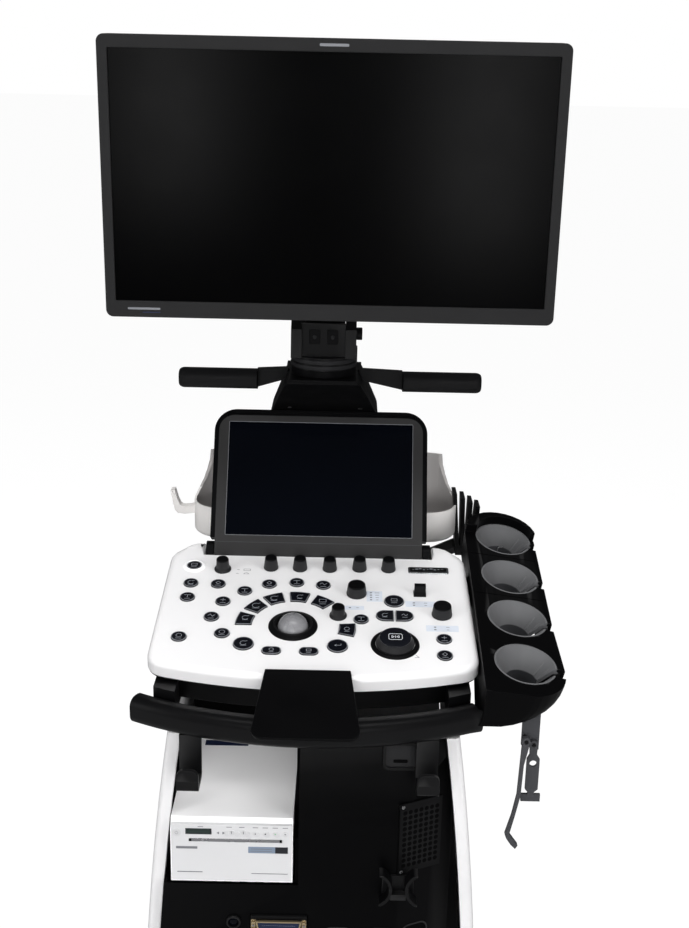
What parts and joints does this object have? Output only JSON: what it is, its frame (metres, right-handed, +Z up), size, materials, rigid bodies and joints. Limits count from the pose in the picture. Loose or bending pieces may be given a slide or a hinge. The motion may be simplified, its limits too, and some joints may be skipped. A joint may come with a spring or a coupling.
{
  "type": "ultrasound machine",
  "caption": "Wheeled ultrasound machine with a monitor on a folding arm, tilting touch panel, sloped control console, probe rack, front handle and a printer in the cart body.",
  "frame": {"origin": "centre of the footprint, on the floor under the casters", "axes": "+X to the machine's right as its user sees it, +Y to the back, +Z up"},
  "size_m": [0.5777, 0.69, 1.5904],
  "materials": {
    "frame_steel": "satin",
    "base_plastic": "fine texture",
    "side_white": "satin gloss",
    "body_black": "fine texture",
    "bay_black": "matte",
    "grille_black": "satin",
    "printer_white": "fine texture",
    "port_grey": "matte",
    "bare_aluminium": "brushed",
    "bright_steel": "satin",
    "fan_plastic": "matte",
    "caster_steel": "satin",
    "caster_tread": "matte",
    "console_white": "satin gloss",
    "console_black": "fine texture",
    "handle_black": "satin",
    "rack_black": "satin",
    "cup_grey": "fine texture",
    "cup_warm_white": "satin",
    "ring_black": "gloss",
    "column_black": "fine texture",
    "pad_black": "soft",
    "strap_grey": "matte",
    "touch_black": "fine texture",
    "touch_glass": "gloss",
    "neck_black": "satin",
    "knob_black": "satin",
    "monitor_black": "fine texture",
    "monitor_glass": "satin",
    "key_black": "gloss",
    "ball_grey": "pearl"
  },
  "bodies": {
    "cart": {"base_frame": "frame_steel", "base_cover": "base_plastic", "left_side_panel": "side_white", "right_side_panel": "side_white", "front_panel": "body_black", "connector_panel": "port_grey", "printer_bay": "bay_black", "printer_case": "printer_white", "speaker_grille": "grille_black", "cable_cleat": "body_black", "rear_cover": "side_white", "card_cage": "bare_aluminium", "power_supply": "bright_steel", "column_sleeve": "bare_aluminium"},
    "printer_keys": {"printer_keys": "printer_white"},
    "fan_rotor": {"fan_rotor": "fan_plastic"},
    "lift": {"lift_column": "bare_aluminium", "console_tray": "console_black", "console_top": "console_white", "front_handle": "handle_black", "palm_plate": "handle_black", "probe_rack": "rack_black", "rack_liners": "cup_grey", "rear_cups": "cup_warm_white", "cable_hooks": "console_black", "control_rings": "ring_black", "column_cover": "column_black", "hanger_bar": "pad_black"},
    "short_strap": {"short_strap": "strap_grey"},
    "long_strap": {"long_strap": "strap_grey"},
    "touch": {"touch_housing": "touch_black", "touch_screen": "touch_glass"},
    "neck": {"neck_yoke": "neck_black"},
    "lock_knob": {"lock_knob": "knob_black"},
    "arm": {"monitor_arm": "neck_black"},
    "monitor": {"tilt_head": "neck_black", "monitor_housing": "monitor_black", "monitor_bezel": "monitor_black", "monitor_screen": "monitor_glass"},
    "keys": {"keys": "key_black"},
    "freeze_key": {"freeze_key": "key_black"},
    "trackball": {"trackball": "ball_grey"},
    "toggle_switch": {"toggle_switch": "key_black"},
    "zoom_knob": {"zoom_knob": "knob_black"},
    "select_knob": {"select_knob": "knob_black"},
    "gain_knob": {"gain_knob": "knob_black"},
    "menu_knob_1": {"menu_knob_1": "knob_black"},
    "menu_knob_2": {"menu_knob_2": "knob_black"},
    "menu_knob_3": {"menu_knob_3": "knob_black"},
    "menu_knob_4": {"menu_knob_4": "knob_black"},
    "menu_knob_5": {"menu_knob_5": "knob_black"},
    "menu_knob_6": {"menu_knob_6": "knob_black"},
    "fork_front_left": {"fork_front_left": "caster_steel"},
    "wheel_front_left": {"wheel_front_left": "caster_tread"},
    "fork_front_right": {"fork_front_right": "caster_steel"},
    "wheel_front_right": {"wheel_front_right": "caster_tread"},
    "fork_rear_left": {"fork_rear_left": "caster_steel"},
    "wheel_rear_left": {"wheel_rear_left": "caster_tread"},
    "fork_rear_right": {"fork_rear_right": "caster_steel"},
    "wheel_rear_right": {"wheel_rear_right": "caster_tread"}
  },
  "joints": [
    {"name": "front_left_swivel", "type": "hinge", "parent": "cart", "child": "fork_front_left", "pos_m": [-0.2, -0.2, 0.15], "axis": [0, 0, 1], "continuous": true},
    {"name": "front_left_roll", "type": "hinge", "parent": "fork_front_left", "child": "wheel_front_left", "pos_m": [-0.2, -0.166, 0.0625], "axis": [1, 0, 0], "continuous": true},
    {"name": "front_right_swivel", "type": "hinge", "parent": "cart", "child": "fork_front_right", "pos_m": [0.16, -0.2, 0.15], "axis": [0, 0, 1], "continuous": true},
    {"name": "front_right_roll", "type": "hinge", "parent": "fork_front_right", "child": "wheel_front_right", "pos_m": [0.16, -0.166, 0.0625], "axis": [1, 0, 0], "continuous": true},
    {"name": "rear_left_swivel", "type": "hinge", "parent": "cart", "child": "fork_rear_left", "pos_m": [-0.2, 0.24, 0.15], "axis": [0, 0, 1], "continuous": true},
    {"name": "rear_left_roll", "type": "hinge", "parent": "fork_rear_left", "child": "wheel_rear_left", "pos_m": [-0.2, 0.274, 0.0625], "axis": [1, 0, 0], "continuous": true},
    {"name": "rear_right_swivel", "type": "hinge", "parent": "cart", "child": "fork_rear_right", "pos_m": [0.16, 0.24, 0.15], "axis": [0, 0, 1], "continuous": true},
    {"name": "rear_right_roll", "type": "hinge", "parent": "fork_rear_right", "child": "wheel_rear_right", "pos_m": [0.16, 0.274, 0.0625], "axis": [1, 0, 0], "continuous": true},
    {"name": "lift", "type": "slide", "parent": "cart", "child": "lift", "axis": [0, 0, 1], "range_m": [0, 0.2]},
    {"name": "printer_keys_press", "type": "slide", "parent": "cart", "child": "printer_keys", "axis": [0, 1, 0], "range_m": [0, 0.001], "stiffness_N_per_m": 800, "springref_m": -0.0005},
    {"name": "fan_spin", "type": "hinge", "parent": "cart", "child": "fan_rotor", "pos_m": [-0.02, 0.312, 0.47], "axis": [0, 1, 0], "continuous": true},
    {"name": "touch_tilt", "type": "hinge", "parent": "lift", "child": "touch", "pos_m": [-0.023, 0.018, 0.905], "axis": [1, 0, 0], "range_deg": [-10, 20]},
    {"name": "neck_swivel", "type": "hinge", "parent": "lift", "child": "neck", "pos_m": [-0.02, 0.04, 1.169], "axis": [0, 0, 1], "range_deg": [-90, 90]},
    {"name": "lock_knob_turn", "type": "hinge", "parent": "neck", "child": "lock_knob", "pos_m": [0.016, 0.045, 1.212], "axis": [1, 0, 0], "range_deg": [-90, 90]},
    {"name": "arm_fold", "type": "hinge", "parent": "neck", "child": "arm", "pos_m": [-0.02, 0.045, 1.212], "axis": [1, 0, 0], "range_deg": [-15, 12]},
    {"name": "monitor_tilt", "type": "hinge", "parent": "arm", "child": "monitor", "pos_m": [-0.02, 0.01, 1.424], "axis": [1, 0, 0], "range_deg": [-15, 10]},
    {"name": "short_strap_swing", "type": "hinge", "parent": "lift", "child": "short_strap", "pos_m": [0.252, -0.26, 0.764], "axis": [0, 1, 0], "range_deg": [-30, 30]},
    {"name": "long_strap_swing", "type": "hinge", "parent": "lift", "child": "long_strap", "pos_m": [0.241, -0.268, 0.772], "axis": [0, 1, 0], "range_deg": [-20, 40]},
    {"name": "keys_press", "type": "slide", "parent": "lift", "child": "keys", "axis": [0, 0.2079, -0.9781], "range_m": [0, 0.0015], "stiffness_N_per_m": 4000, "springref_m": -0.001},
    {"name": "freeze_press", "type": "slide", "parent": "lift", "child": "freeze_key", "axis": [0, 0.2079, -0.9781], "range_m": [0, 0.0015], "stiffness_N_per_m": 1500, "springref_m": -0.001},
    {"name": "trackball_roll", "type": "hinge", "parent": "lift", "child": "trackball", "pos_m": [-0.051, -0.15243, 0.86352], "axis": [1, 0, 0], "continuous": true},
    {"name": "toggle_rock", "type": "hinge", "parent": "lift", "child": "toggle_switch", "pos_m": [0.116, -0.07536, 0.88092], "axis": [1, 0, 0], "range_deg": [-12, 12], "stiffness_Nm_per_rad": 0.05},
    {"name": "menu_knob_1_turn", "type": "hinge", "parent": "lift", "child": "menu_knob_1", "pos_m": [-0.153, -0.02903, 0.89384], "axis": [0, -0.2079, 0.9781], "continuous": true},
    {"name": "menu_knob_2_turn", "type": "hinge", "parent": "lift", "child": "menu_knob_2", "pos_m": [-0.087, -0.02316, 0.89508], "axis": [0, -0.2079, 0.9781], "continuous": true},
    {"name": "menu_knob_3_turn", "type": "hinge", "parent": "lift", "child": "menu_knob_3", "pos_m": [-0.047, -0.02316, 0.89508], "axis": [0, -0.2079, 0.9781], "continuous": true},
    {"name": "menu_knob_4_turn", "type": "hinge", "parent": "lift", "child": "menu_knob_4", "pos_m": [-0.006, -0.02316, 0.89508], "axis": [0, -0.2079, 0.9781], "continuous": true},
    {"name": "menu_knob_5_turn", "type": "hinge", "parent": "lift", "child": "menu_knob_5", "pos_m": [0.035, -0.02121, 0.8955], "axis": [0, -0.2079, 0.9781], "continuous": true},
    {"name": "menu_knob_6_turn", "type": "hinge", "parent": "lift", "child": "menu_knob_6", "pos_m": [0.075, -0.02121, 0.8955], "axis": [0, -0.2079, 0.9781], "continuous": true},
    {"name": "zoom_knob_turn", "type": "hinge", "parent": "lift", "child": "zoom_knob", "pos_m": [0.031, -0.0799, 0.88302], "axis": [0, -0.2079, 0.9781], "continuous": true},
    {"name": "select_knob_turn", "type": "hinge", "parent": "lift", "child": "select_knob", "pos_m": [0.007, -0.12978, 0.87242], "axis": [0, -0.2079, 0.9781], "continuous": true},
    {"name": "gain_knob_turn", "type": "hinge", "parent": "lift", "child": "gain_knob", "pos_m": [0.143, -0.12293, 0.87388], "axis": [0, -0.2079, 0.9781], "continuous": true}
  ]
}
